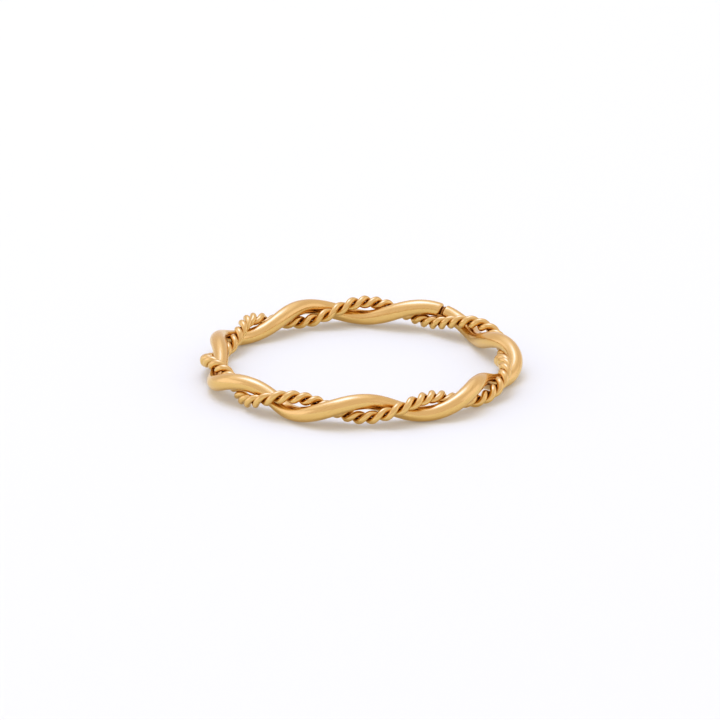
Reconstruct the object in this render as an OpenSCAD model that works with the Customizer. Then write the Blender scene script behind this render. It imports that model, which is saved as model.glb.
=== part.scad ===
// Rope twist ring: one smooth wire and one two-wire rope laid round each other
// and closed into a finger ring that lies on its side. Millimetres, +Z up.
// The origin is the middle of the ring on the surface that it lies on.

/* [Ring] */
// Inner diameter, the finger size
finger_d = 17.3; // [14:0.1:22]
// How many times the two strands go round each other in one ring
twists = 7; // [4:1:9]

/* [Smooth wire] */
// Width of the smooth wire, across the twist
smooth_w = 1.08; // [0.7:0.01:1.3]
// Thickness of the smooth wire, towards the rope
smooth_t = 1.00; // [0.7:0.01:1.3]
// Open space between the smooth wire's two cut ends
seam_gap = 0.22; // [0.1:0.02:0.8]
// Rounding of the smooth wire's cut ends
end_round = 0.12; // [0.02:0.01:0.2]

/* [Rope] */
// Diameter of each of the rope's two fine wires
fine_d = 0.43; // [0.3:0.01:0.6]
// Clearance between the two fine wires
fine_gap = 0.015; // [0.01:0.005:0.05]
// Turns of the fine wires along the rope in one ring
lay_turns = 31.5; // [20:0.5:36]
// Open space between the fine wires' cut ends at the seam
rope_gap = 0.03; // [0.02:0.01:0.3]

/* [Twist] */
// Least clearance between the smooth wire and the rope
strand_gap = 0.02; // [0.01:0.005:0.1]
// Usual extra room between the strands where one lies over the other
slot_h = 0.10; // [0:0.01:0.5]

/* [Hidden] */

// Ring angle of the seam, and of the first place where the smooth wire lies over the rope
seam_angle = 56.8;
first_crossing = 63.7;

// Share of the extra room that lifts the smooth wire, and the rest lifts the rope
slot_share = 1 / 3;

// The hand-made unevenness. One row for each place where one strand lies over the
// other, from the first crossing: extra turn of the strands, extra turn of the
// rope's lay, the band's shift outwards and upwards as shares of the smooth wire's
// thickness, and the extra room between the strands as a share of slot_h
STRAND_TURN = 0;
LAY_TURN = 1;
BAND_OUT = 2;
BAND_UP = 3;
SLOT_OPEN = 4;
UNEVEN = [
    [-4, 15, 0.03, 0.07, 0],
    [-5, -115, 0.09, 0.06, 1],
    [-6, 20, 0.02, -0.03, 0.4],
    [-8, 105, 0, 0, 0.9],
    [-6, 120, -0.04, -0.07, 0.1],
    [-10, 15, 0.08, 0.02, 0],
    [0, -30, -0.03, 0, 1],
    [6, 60, -0.01, 0.03, 1.1],
    [4, -20, -0.03, 0.05, 0.9],
    [3, 40, 0, 0.01, 0.8],
    [6, 130, 0.06, 0, 1.6],
    [3, 70, 0, 0.01, 1.2],
    [9, -10, -0.10, 0.01, 0.5],
    [1, -15, 0.01, -0.02, 0.4]
];

// Sides of each wire's section and rings of points along it
smooth_sides = 16;
rings_per_twist = 22;
fine_sides = 6;
rings_per_lay_turn = 12;
rings_per_end = 3;

// A small step of ring angle that gives a path's direction
angle_step = 0.01;

rope_d = 2 * fine_d + fine_gap;
fine_offset = (fine_d + fine_gap) / 2;
ring_r = finger_d / 2 + smooth_t + strand_gap / 2;
smooth_swing = (smooth_t + strand_gap) / 2;
rope_swing = (rope_d + strand_gap) / 2;
band_mid_z = smooth_t / 2 + smooth_swing + slot_share * slot_h;
degrees_per_mm = 360 / (2 * PI * ring_r);

gold = [0.89, 0.71, 0.42];

function unit(v) = v / norm(v);
function flat_part(v, along) = unit(v - (v * along) * along);

// Reads a column of UNEVEN at a ring angle, smoothly from row to row
function uneven(angle, column) =
    let (
        rows = len(UNEVEN),
        place = (angle - first_crossing) * rows / 360,
        row = floor(place),
        share = (1 - cos(180 * (place - row))) / 2,
        here = UNEVEN[(row % rows + rows) % rows][column],
        next = UNEVEN[((row + 1) % rows + rows) % rows][column]
    )
    here * (1 - share) + next * share;

// Angle of the smooth wire about the middle of the band: 0 is outwards, 90 is up
function twist_angle(angle) =
    90 + twists * (angle - first_crossing) + uneven(angle, STRAND_TURN);

// Direction out of the middle of the band, at a ring angle and a turn about it
function out_of_band(angle, turn) =
    [cos(turn) * cos(angle), cos(turn) * sin(angle), sin(turn)];

// A point of a strand's middle line: the strand's own swing from the middle of the
// band, and its share of the room that opens between the strands at a crossing
function strand_point(angle, half_turn, swing, room_share) =
    let (
        turn = twist_angle(angle) + half_turn,
        r = ring_r + smooth_t * uneven(angle, BAND_OUT) + swing * cos(turn),
        mid_z = band_mid_z + smooth_t * uneven(angle, BAND_UP),
        rise = swing + room_share * slot_h * uneven(angle, SLOT_OPEN)
    )
    [r * cos(angle), r * sin(angle), mid_z + rise * sin(turn)];

function smooth_point(angle) = strand_point(angle, 0, smooth_swing, slot_share);
function rope_point(angle) = strand_point(angle, 180, rope_swing, 1 - slot_share);

// A point of one fine wire's middle line, and its direction out of the rope
function fine_side(angle, start) =
    let (
        along = unit(rope_point(angle + angle_step) - rope_point(angle - angle_step)),
        outward = flat_part(out_of_band(angle, twist_angle(angle) + 180), along),
        across = cross(along, outward),
        lay = start - lay_turns * (angle - first_crossing) + uneven(angle, LAY_TURN)
    )
    cos(lay) * outward + sin(lay) * across;
function fine_point(angle, start) = rope_point(angle) + fine_offset * fine_side(angle, start);

// A ring of points about a middle point: half_out along outward, half_across beside it
function section(middle, along, outward, half_out, half_across, sides) =
    let (up = flat_part(outward, along), beside = cross(along, up))
    [for (i = [0:sides - 1])
        let (a = 360 * i / sides)
        middle + half_out * cos(a) * up + half_across * sin(a) * beside];

// How far the section draws in at a distance from a cut end
function inset(from_end) =
    from_end >= end_round ? 0
    : end_round - sqrt(end_round * end_round - (end_round - from_end) * (end_round - from_end));

function smooth_section(angle, from_end) =
    section(
        smooth_point(angle),
        unit(smooth_point(angle + angle_step) - smooth_point(angle - angle_step)),
        out_of_band(angle, twist_angle(angle)),
        smooth_t / 2 - inset(from_end),
        smooth_w / 2 - inset(from_end),
        smooth_sides
    );

function fine_section(angle, start) =
    section(
        fine_point(angle, start),
        unit(fine_point(angle + angle_step, start) - fine_point(angle - angle_step, start)),
        fine_side(angle, start),
        fine_d / 2,
        fine_d / 2,
        fine_sides
    );

// A solid through rings of points, with a flat face at each end
module swept(rings, sides) {
    count = len(rings);
    walls = [
        for (i = [0:count - 2])
            for (j = [0:sides - 1])
                let (
                    a = i * sides + j,
                    b = i * sides + (j + 1) % sides,
                    c = b + sides,
                    d = a + sides
                )
                each [[a, c, b], [a, d, c]]
    ];
    first_end = [for (j = [0:sides - 1]) j];
    last_end = [for (j = [sides - 1:-1:0]) (count - 1) * sides + j];
    polyhedron(
        points = [for (ring = rings) each ring],
        faces = concat(walls, [first_end, last_end])
    );
}

// The smooth wire runs from one side of the seam's gap round to the other
module smooth_wire() {
    first = seam_angle + degrees_per_mm * seam_gap / 2;
    last = seam_angle + 360 - degrees_per_mm * seam_gap / 2;
    round_degrees = degrees_per_mm * end_round;
    body_rings = round(twists * rings_per_twist);
    near_ends = [for (i = [0:rings_per_end - 1]) 1 - cos(90 * i / rings_per_end)];
    start_rings = [for (s = near_ends) smooth_section(first + round_degrees * s, end_round * s)];
    body = [
        for (i = [0:body_rings])
            smooth_section(
                first + round_degrees + (last - first - 2 * round_degrees) * i / body_rings,
                end_round
            )
    ];
    end_rings = [
        for (i = [rings_per_end - 1:-1:0])
            smooth_section(last - round_degrees * near_ends[i], end_round * near_ends[i])
    ];
    color(gold) swept(concat(start_rings, body, end_rings), smooth_sides);
}

// The two fine wires lie half a turn apart and are cut at the seam, where the lay
// brings the end of each opposite the start of the other
module rope_wire(number) {
    start = 180 * (number - 1);
    first = seam_angle + degrees_per_mm * rope_gap / 2;
    length = 360 - degrees_per_mm * rope_gap;
    spans = round(lay_turns * rings_per_lay_turn);
    rings = [for (i = [0:spans]) fine_section(first + length * i / spans, start)];
    color(gold) swept(rings, fine_sides);
}

smooth_wire();
rope_wire(1);  // rope_wire_1
rope_wire(2);  // rope_wire_2
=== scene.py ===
# A gold stacking ring, a smooth wire and a two-wire rope wound round each other, lying on a pale floor.
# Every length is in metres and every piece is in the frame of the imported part.
import math

import bmesh
import bpy
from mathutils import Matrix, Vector, noise
from mathutils.bvhtree import BVHTree


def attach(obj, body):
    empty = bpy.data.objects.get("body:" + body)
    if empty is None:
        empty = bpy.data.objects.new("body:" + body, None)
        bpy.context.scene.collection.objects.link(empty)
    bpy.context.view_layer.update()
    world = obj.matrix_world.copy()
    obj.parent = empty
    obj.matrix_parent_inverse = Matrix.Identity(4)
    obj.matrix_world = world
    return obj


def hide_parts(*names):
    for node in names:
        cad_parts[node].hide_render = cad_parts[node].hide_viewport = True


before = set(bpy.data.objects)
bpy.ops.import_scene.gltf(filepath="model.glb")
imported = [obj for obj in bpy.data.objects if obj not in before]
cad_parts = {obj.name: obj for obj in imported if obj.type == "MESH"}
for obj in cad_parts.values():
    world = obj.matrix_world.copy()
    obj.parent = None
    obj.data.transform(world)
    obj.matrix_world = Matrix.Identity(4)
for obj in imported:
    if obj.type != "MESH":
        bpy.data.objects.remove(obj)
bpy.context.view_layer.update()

# Camera
# The photograph is taken with a long lens from a little above the ring, with the seam at the back right.
# The ring's middle, halfway up the band, is at MIDDLE_PX of the square picture.
FRAME_PX = 720
MIDDLE_PX = (360.8, 359.45)
PX_PER_M = 15229
CAMERA_ELEVATION = math.radians(19.92)
CAMERA_DISTANCE = 0.349
SENSOR_WIDTH_MM = 36
NEAREST_SEEN = 0.01
FARTHEST_SEEN = 10
BAND_MIDDLE_Z = 0.001043

from_ring = Vector((0, -math.cos(CAMERA_ELEVATION), math.sin(CAMERA_ELEVATION)))

camera = bpy.data.objects.new("camera", bpy.data.cameras.new("camera"))
bpy.context.scene.collection.objects.link(camera)
camera.data.sensor_width = SENSOR_WIDTH_MM
camera.data.lens = SENSOR_WIDTH_MM * PX_PER_M * CAMERA_DISTANCE / FRAME_PX
camera.data.shift_x = (FRAME_PX / 2 - MIDDLE_PX[0]) / FRAME_PX
camera.data.shift_y = (MIDDLE_PX[1] - FRAME_PX / 2) / FRAME_PX
camera.data.clip_start = NEAREST_SEEN
camera.data.clip_end = FARTHEST_SEEN
camera.location = Vector((0, 0, BAND_MIDDLE_Z)) + CAMERA_DISTANCE * from_ring
camera.rotation_mode = "QUATERNION"
camera.rotation_quaternion = (-from_ring).to_track_quat("-Z", "Y")
bpy.context.scene.camera = camera

# Smooth wire
# A solid gold wire, drawn a little flatter than round, is wound round the rope and bent into the ring by
# hand, so its turns are slightly uneven. Its two cut ends stand a little apart at the seam.
FINGER_D = 0.0173
TWISTS = 7
SMOOTH_W = 0.00108
SMOOTH_T = 0.00100
SEAM_GAP = 0.00022
END_ROUND = 0.00012
STRAND_GAP = 0.00002
SLOT_H = 0.00010
SLOT_SHARE = 1 / 3
SEAM_ANGLE = 56.8
FIRST_CROSSING = 63.7
ANGLE_STEP = 0.01

# One row for each place where one strand lies over the other, from the first crossing: extra turn of the
# strands, extra turn of the rope's lay, shift of the band outwards and upwards as shares of the smooth wire's
# thickness, and the extra room between the strands as a share of SLOT_H.
UNEVEN = (
    (-4, 15, 0.03, 0.07, 0),
    (-5, -115, 0.09, 0.06, 1),
    (-6, 20, 0.02, -0.03, 0.4),
    (-8, 105, 0, 0, 0.9),
    (-6, 120, -0.04, -0.07, 0.1),
    (-10, 15, 0.08, 0.02, 0),
    (0, -30, -0.03, 0, 1),
    (6, 60, -0.01, 0.03, 1.1),
    (4, -20, -0.03, 0.05, 0.9),
    (3, 40, 0, 0.01, 0.8),
    (6, 130, 0.06, 0, 1.6),
    (3, 70, 0, 0.01, 1.2),
    (9, -10, -0.10, 0.01, 0.5),
    (1, -15, 0.01, -0.02, 0.4),
)
STRAND_TURN, LAY_TURN, BAND_OUT, BAND_UP, SLOT_OPEN = zip(*UNEVEN)

ring_r = FINGER_D / 2 + SMOOTH_T + STRAND_GAP / 2
degrees_per_m = 360 / (2 * math.pi * ring_r)


def uneven(angle, values):
    """The unevenness at a ring angle, read smoothly from one crossing to the next."""
    place = (angle - FIRST_CROSSING) * len(values) / 360
    row = math.floor(place)
    share = (1 - math.cos(math.pi * (place - row))) / 2
    return values[row % len(values)] * (1 - share) + values[(row + 1) % len(values)] * share


def twist_angle(angle):
    """The smooth wire's angle about the middle of the band: 0 is outwards, 90 is up."""
    return 90 + TWISTS * (angle - FIRST_CROSSING) + uneven(angle, STRAND_TURN)


def out_of_band(angle, half_turn=0):
    """The direction from the middle of the band to a strand, half_turn after the smooth wire."""
    a = math.radians(angle)
    t = math.radians(twist_angle(angle) + half_turn)
    return Vector((math.cos(t) * math.cos(a), math.cos(t) * math.sin(a), math.sin(t)))


def strand_point(angle, half_turn, swing, room_share):
    """A point of a strand's middle line: swing from the middle of the band, and higher or lower by its share
    of the room that opens between the strands at a crossing."""
    a = math.radians(angle)
    r = ring_r + SMOOTH_T * uneven(angle, BAND_OUT)
    middle = Vector((r * math.cos(a), r * math.sin(a), BAND_MIDDLE_Z + SMOOTH_T * uneven(angle, BAND_UP)))
    out = out_of_band(angle, half_turn)
    room = room_share * SLOT_H * uneven(angle, SLOT_OPEN)
    return middle + swing * out + Vector((0, 0, room * out.z))


def smooth_path(angle):
    """The smooth wire's middle line."""
    return strand_point(angle, 0, (SMOOTH_T + STRAND_GAP) / 2, SLOT_SHARE)


def direction(path, angle):
    """The direction of a middle line at a ring angle."""
    return (path(angle + ANGLE_STEP) - path(angle - ANGLE_STEP)).normalized()


def square_to(along, out):
    """The direction square to along that is nearest to out."""
    return (out - out.dot(along) * along).normalized()


def place_piece(name, bm):
    """Turns finished mesh work into a piece of the scene."""
    piece = bpy.data.objects.new(name, bpy.data.meshes.new(name))
    bm.to_mesh(piece.data)
    bm.free()
    bpy.context.scene.collection.objects.link(piece)
    return piece


# Each piece of the ring has its polished gold first and its sawn or soldered gold second.
POLISHED = 0
SAWN = 1
# The flat grid that is rolled up into a wire is 1 long and 1 wide, and has its middle at the origin.
HALF_GRID = 0.5
MERGE_DISTANCE = 1e-7


def wind_wire(name, path, side, half_t, half_w, stations, sides, easing=None):
    """Rolls a flat grid up round a wire's path. stations are the ring angles of its sections, side gives the
    direction that the section's half_t lies in, and easing how far the section draws in near a cut end."""
    bm = bmesh.new()
    uv = bm.loops.layers.uv.new("UVMap")
    bmesh.ops.create_grid(bm, x_segments=len(stations) - 1, y_segments=sides, size=HALF_GRID)
    for face in bm.faces:
        for loop in face.loops:
            loop[uv].uv = (loop.vert.co.x + HALF_GRID, loop.vert.co.y + HALF_GRID)
    rows = {}
    for vert in bm.verts:
        station = round((vert.co.x + HALF_GRID) * (len(stations) - 1))
        rows.setdefault(station, []).append(vert)
    for station, verts in rows.items():
        angle = stations[station]
        along = direction(path, angle)
        out = square_to(along, side(angle))
        beside = along.cross(out)
        draw_in = easing(station) if easing else 0
        for vert in verts:
            turn = 2 * math.pi * (vert.co.y + HALF_GRID)
            vert.co = (
                path(angle)
                + (half_t - draw_in) * math.cos(turn) * out
                + (half_w - draw_in) * math.sin(turn) * beside
            )
    bmesh.ops.remove_doubles(bm, verts=bm.verts, dist=MERGE_DISTANCE)
    bmesh.ops.holes_fill(bm, edges=[e for e in bm.edges if e.is_boundary], sides=0)
    bmesh.ops.recalc_face_normals(bm, faces=bm.faces)
    for face in bm.faces:
        is_end = len(face.verts) > 4
        face.smooth = not is_end
        face.material_index = SAWN if is_end else POLISHED
    return place_piece(name, bm)


END_STATIONS = 6
BODY_STATIONS = 560
SMOOTH_SIDES = 48
near_end = [1 - math.cos(math.pi / 2 * i / END_STATIONS) for i in range(END_STATIONS)]
first = SEAM_ANGLE + degrees_per_m * SEAM_GAP / 2
last = SEAM_ANGLE + 360 - degrees_per_m * SEAM_GAP / 2
round_off = degrees_per_m * END_ROUND
start_stations = [first + round_off * s for s in near_end]
end_stations = [last - round_off * s for s in reversed(near_end)]
body_span = last - first - 2 * round_off
body_stations = [first + round_off + body_span * i / BODY_STATIONS for i in range(BODY_STATIONS + 1)]
smooth_stations = start_stations + body_stations + end_stations


def end_easing(station):
    """How far the rounding of a cut end draws the section in."""
    from_end = min(station, len(smooth_stations) - 1 - station)
    if from_end >= END_STATIONS:
        return 0
    s = 1 - near_end[from_end]
    return END_ROUND * (1 - math.sqrt(1 - s * s))


smooth_wire = wind_wire(
    "smooth_gold_wire", smooth_path, out_of_band, SMOOTH_T / 2, SMOOTH_W / 2, smooth_stations, SMOOTH_SIDES,
    end_easing,
)

# Gold is painted darker and redder where the wires lie close together. This is painted shade in the crevices,
# along with some tarnish. CREVICE is kept on each point of a wire: 1 where it touches another wire, 0 from
# CREVICE_REACH away.
GOLD = (0.83, 0.59, 0.25)
TARNISH_AND_SHADE = (0.56, 0.31, 0.06)
CREVICE = "crevice"

# The draw plate leaves faint lines along the wire, and the deepest of them keep a little tarnish.
LINE_WIDTH = 0.00006
LINE_LENGTH = 0.0012
LINE_DETAIL = 2
TARNISH_STARTS = 0.55
TARNISH_FULL = 0.75
LINE_TARNISH = 0.2
LINE_DEPTH = 0.000004
LINE_STRENGTH = 0.3

# Polishing by hand leaves slight waves and patches of haze.
WAVE_SIZE = 0.0005
WAVE_DETAIL = 3
WAVE_DEPTH = 0.000006
WAVE_STRENGTH = 1
HAZE = 0.08


def gold(name, roughness, wire_length, girth):
    """Polished gold with faint lines along the wire, which follow its UV map, and painted shade in the crevices
    between the wires.
    """
    material = bpy.data.materials.new(name)
    material.use_nodes = True
    nodes, links = material.node_tree.nodes, material.node_tree.links
    shader = nodes["Principled BSDF"]
    shader.inputs["Metallic"].default_value = 1

    place = nodes.new("ShaderNodeTexCoord")
    stretch = nodes.new("ShaderNodeMapping")
    stretch.inputs["Scale"].default_value = (wire_length / LINE_LENGTH, girth / LINE_WIDTH, 1)
    links.new(place.outputs["UV"], stretch.inputs["Vector"])
    lines = nodes.new("ShaderNodeTexNoise")
    lines.inputs["Scale"].default_value = 1
    lines.inputs["Detail"].default_value = LINE_DETAIL
    links.new(stretch.outputs["Vector"], lines.inputs["Vector"])

    waves = nodes.new("ShaderNodeTexNoise")
    waves.inputs["Scale"].default_value = 1 / WAVE_SIZE
    waves.inputs["Detail"].default_value = WAVE_DETAIL
    links.new(place.outputs["Object"], waves.inputs["Vector"])

    line_tarnish = nodes.new("ShaderNodeMapRange")
    line_tarnish.inputs["From Min"].default_value = TARNISH_STARTS
    line_tarnish.inputs["From Max"].default_value = TARNISH_FULL
    line_tarnish.inputs["To Max"].default_value = LINE_TARNISH
    links.new(lines.outputs["Fac"], line_tarnish.inputs["Value"])
    # Painted shade: the gold is mixed towards dark brown where the wires lie close, and towards tarnish along
    # the deepest lines.
    crevice = nodes.new("ShaderNodeAttribute")
    crevice.attribute_name = CREVICE
    shade_and_tarnish = nodes.new("ShaderNodeMath")
    shade_and_tarnish.operation = "MAXIMUM"
    links.new(crevice.outputs["Fac"], shade_and_tarnish.inputs[0])
    links.new(line_tarnish.outputs["Result"], shade_and_tarnish.inputs[1])
    colour = nodes.new("ShaderNodeMix")
    colour.data_type = "RGBA"
    colour.inputs["A"].default_value = (*GOLD, 1)
    colour.inputs["B"].default_value = (*TARNISH_AND_SHADE, 1)
    links.new(shade_and_tarnish.outputs["Value"], colour.inputs["Factor"])
    links.new(colour.outputs["Result"], shader.inputs["Base Color"])

    haze = nodes.new("ShaderNodeMapRange")
    haze.inputs["To Min"].default_value = roughness - HAZE
    haze.inputs["To Max"].default_value = roughness + HAZE
    links.new(waves.outputs["Fac"], haze.inputs["Value"])
    links.new(haze.outputs["Result"], shader.inputs["Roughness"])

    wavy = nodes.new("ShaderNodeBump")
    wavy.inputs["Strength"].default_value = WAVE_STRENGTH
    wavy.inputs["Distance"].default_value = WAVE_DEPTH
    links.new(waves.outputs["Fac"], wavy.inputs["Height"])
    lined = nodes.new("ShaderNodeBump")
    lined.inputs["Strength"].default_value = LINE_STRENGTH
    lined.inputs["Distance"].default_value = LINE_DEPTH
    links.new(lines.outputs["Fac"], lined.inputs["Height"])
    links.new(wavy.outputs["Normal"], lined.inputs["Normal"])
    links.new(lined.outputs["Normal"], shader.inputs["Normal"])
    return material


# The cut ends are left dull, as the saw and the soldering fire made them. Their dark brown, which the solder at
# the seam shares, is partly the fire's colour and partly painted shade of the narrow seam.
SAWN_AND_SHADE_COLOUR = (0.48, 0.26, 0.07)
SAWN_ROUGHNESS = 0.5

sawn_and_shaded_gold = bpy.data.materials.new("sawn_and_shaded_gold")
sawn_and_shaded_gold.use_nodes = True
sawn_and_shaded_shader = sawn_and_shaded_gold.node_tree.nodes["Principled BSDF"]
sawn_and_shaded_shader.inputs["Base Color"].default_value = (*SAWN_AND_SHADE_COLOUR, 1)
sawn_and_shaded_shader.inputs["Metallic"].default_value = 1
sawn_and_shaded_shader.inputs["Roughness"].default_value = SAWN_ROUGHNESS

smooth_wire.data.materials.append(gold("satin_gold", roughness=0.22, wire_length=0.065, girth=0.0033))
smooth_wire.data.materials.append(sawn_and_shaded_gold)
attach(smooth_wire, "root")
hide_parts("smooth_wire")

# Rope
# Two fine round gold wires are twisted tightly together into a rope, which is then wound with the smooth
# wire. Both are cut at the seam, where each one's end meets the other's start.
FINE_D = 0.00043
FINE_GAP = 0.000015
ROPE_GAP = 0.00003
LAY_TURNS = 31.5
ROPE_STATIONS = 1344
FINE_SIDES = 20
# The rope lies half a turn of the twist after the smooth wire, and its two fine wires half a turn apart.
ROPE_TURN = 180
FINE_STARTS = (0, 180)

rope_d = 2 * FINE_D + FINE_GAP
fine_offset = (FINE_D + FINE_GAP) / 2


def rope_path(angle):
    """The rope's middle line."""
    return strand_point(angle, ROPE_TURN, (rope_d + STRAND_GAP) / 2, 1 - SLOT_SHARE)


def fine_side(angle, start):
    """The direction from the rope's middle line to a fine wire."""
    along = direction(rope_path, angle)
    out = square_to(along, out_of_band(angle, ROPE_TURN))
    lay = math.radians(start - LAY_TURNS * (angle - FIRST_CROSSING) + uneven(angle, LAY_TURN))
    return math.cos(lay) * out + math.sin(lay) * along.cross(out)


def fine_path(angle, start):
    """A fine wire's middle line."""
    return rope_path(angle) + fine_offset * fine_side(angle, start)


rope_first = SEAM_ANGLE + degrees_per_m * ROPE_GAP / 2
rope_span = 360 - degrees_per_m * ROPE_GAP
rope_stations = [rope_first + rope_span * i / ROPE_STATIONS for i in range(ROPE_STATIONS + 1)]
rope_gold = gold("rope_gold", roughness=0.20, wire_length=0.075, girth=0.00135)
fine_wires = []
for number, start in enumerate(FINE_STARTS, 1):
    fine_wire = wind_wire(
        f"rope_gold_wire_{number}",
        lambda angle, start=start: fine_path(angle, start),
        lambda angle, start=start: fine_side(angle, start),
        FINE_D / 2, FINE_D / 2, rope_stations, FINE_SIDES,
    )
    fine_wire.data.materials.append(rope_gold)
    fine_wire.data.materials.append(sawn_and_shaded_gold)
    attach(fine_wire, "root")
    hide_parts(f"rope_wire_{number}")
    fine_wires.append(fine_wire)

# Solder
# The strands are joined at the seam. The solder fills the smooth wire's cut to a little below its surface,
# runs over the rope's cut and stands as a small knot between the two strands. It cooled as it ran, in soft
# lumps.
NECK_RADII = (0.00041, 0.00041, 0.00018)
NECK_DROP = 0.00008
COLLAR_RADII = (0.000232, 0.000232, 0.00019)
KNOT_RADII = (0.00017, 0.00019, 0.00024)
KNOT_FROM_MIDDLE = 0.00032
KNOT_DROP = 0.00013
LUMP_SIZE = 0.00016
LUMP_HEIGHT = 0.12
LUMP_SUBDIVISIONS = 4

seam_along = direction(smooth_path, SEAM_ANGLE)
seam_out = square_to(seam_along, out_of_band(SEAM_ANGLE))
seam_up = seam_out.cross(seam_along)


def add_lump(bm, place, radii, finish):
    """A soft lump of solder round a place: its radii are outward, upward and along the smooth wire."""
    lump = bmesh.ops.create_icosphere(bm, subdivisions=LUMP_SUBDIVISIONS, radius=1)["verts"]
    for vert in lump:
        x, y, z = vert.co
        reach = radii[0] * x * seam_out + radii[1] * y * seam_up + radii[2] * z * seam_along
        vert.co = place + reach * (1 + LUMP_HEIGHT * noise.noise((place + reach) / LUMP_SIZE))
    for face in {face for vert in lump for face in vert.link_faces}:
        face.material_index = finish
        face.smooth = True


neck = smooth_path(SEAM_ANGLE) - Vector((0, 0, NECK_DROP))
between = (smooth_path(SEAM_ANGLE) + rope_path(SEAM_ANGLE)) / 2
knot = between + KNOT_FROM_MIDDLE * seam_up - Vector((0, 0, KNOT_DROP))
bm = bmesh.new()
# The neck and the knot wear the dark brown of the cut ends, which is partly painted shade.
add_lump(bm, neck, NECK_RADII, SAWN)
add_lump(bm, knot, KNOT_RADII, SAWN)
for start in FINE_STARTS:
    add_lump(bm, fine_path(SEAM_ANGLE, start), COLLAR_RADII, POLISHED)
solder = place_piece("seam_solder", bm)
solder.data.materials.append(rope_gold)
solder.data.materials.append(sawn_and_shaded_gold)
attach(solder, "root")

# Crevice shade
# Where the wires lie against each other, the gold is painted darker and browner. This is painted shade, along
# with the brown that the soldering fire left.
CREVICE_REACH = 0.00017

wires = [smooth_wire, *fine_wires]
shapes = {
    wire: BVHTree.FromPolygons([v.co for v in wire.data.vertices], [f.vertices for f in wire.data.polygons])
    for wire in wires
}
for wire in wires:
    closeness = wire.data.attributes.new(CREVICE, "FLOAT", "POINT")
    others = [shapes[other] for other in wires if other is not wire]
    for vert in wire.data.vertices:
        for other in others:
            distance = other.find_nearest(vert.co, CREVICE_REACH)[3]
            if distance is not None:
                depth = 1 - distance / CREVICE_REACH
                closeness.data[vert.index].value = max(closeness.data[vert.index].value, depth)

# Floor
# A plain pale floor, large enough to fill the view from any side. It glows faintly, which keeps the ring's
# shadows as pale as they are on a lit table.
FLOOR_R = 1.5
FLOOR_SIDES = 64
FLOOR_COLOUR = (0.66, 0.67, 0.56)
FLOOR_ROUGHNESS = 0.9
GLOW_COLOUR = (1, 0.98, 0.98)
GLOW_STRENGTH = 0.13

bm = bmesh.new()
bmesh.ops.create_circle(bm, cap_ends=True, segments=FLOOR_SIDES, radius=FLOOR_R)
floor = place_piece("floor", bm)
paper = bpy.data.materials.new("pale_floor")
paper.use_nodes = True
paper_shader = paper.node_tree.nodes["Principled BSDF"]
paper_shader.inputs["Base Color"].default_value = (*FLOOR_COLOUR, 1)
paper_shader.inputs["Roughness"].default_value = FLOOR_ROUGHNESS
paper_shader.inputs["Emission Color"].default_value = (*GLOW_COLOUR, 1)
paper_shader.inputs["Emission Strength"].default_value = GLOW_STRENGTH
floor.data.materials.append(paper)

# Light
# A pale room with a soft box that hangs over the ring, a little behind it and to the left, under a wide
# ceiling and between two pale walls. The soft box is brightest in its middle, and cooler than the room, so that
# the gold's highlights come out pale. One more light falls on the floor alone, and keeps it near white.
ROOM_COLOUR = (0.63, 0.585, 0.655)

world = bpy.data.worlds.new("room")
bpy.context.scene.world = world
world.use_nodes = True
world.node_tree.nodes["Background"].inputs["Color"].default_value = (*ROOM_COLOUR, 1)


def soft_light(name, place, width, height, radiance, colour):
    """An evenly bright panel that faces the ring."""
    light = bpy.data.objects.new(name, bpy.data.lights.new(name, "AREA"))
    bpy.context.scene.collection.objects.link(light)
    light.data.shape = "RECTANGLE"
    light.data.size = width
    light.data.size_y = height
    light.data.energy = radiance * math.pi * width * height
    light.data.color = colour
    light.location = place
    light.rotation_mode = "QUATERNION"
    light.rotation_quaternion = (-Vector(place)).to_track_quat("-Z", "Y")
    light.visible_camera = False
    return light


soft_light(
    "soft_box_core",
    place=(-0.093, 0.144, 0.576), width=0.24, height=0.24, radiance=0.45, colour=(0.45, 0.75, 2.4),
)
soft_light(
    "soft_box",
    place=(-0.096, 0.149, 0.595), width=0.42, height=0.42, radiance=0.45, colour=(0.45, 0.75, 2.3),
)
soft_light(
    "ceiling",
    place=(-0.14, 0.216, 0.864), width=1.3, height=1.3, radiance=0.16, colour=(0.85, 1, 1.5),
)
soft_light("left_wall", place=(-0.9, 0, 0.26), width=0.9, height=0.6, radiance=0.24, colour=(0.95, 1, 1.6))
soft_light("right_wall", place=(0.9, 0, 0.26), width=0.9, height=0.6, radiance=0.16, colour=(0.95, 1, 1.5))

floor_light = soft_light(
    "floor_light",
    place=(-0.12, 0.1, 0.9), width=0.6, height=0.6, radiance=0.86, colour=(1, 1, 0.85),
)
floor_only = bpy.data.collections.new("floor_only")
floor_only.objects.link(floor)
floor_light.light_linking.receiver_collection = floor_only

bpy.context.scene.view_settings.view_transform = "Standard"
bpy.context.scene.view_settings.look = "High Contrast"
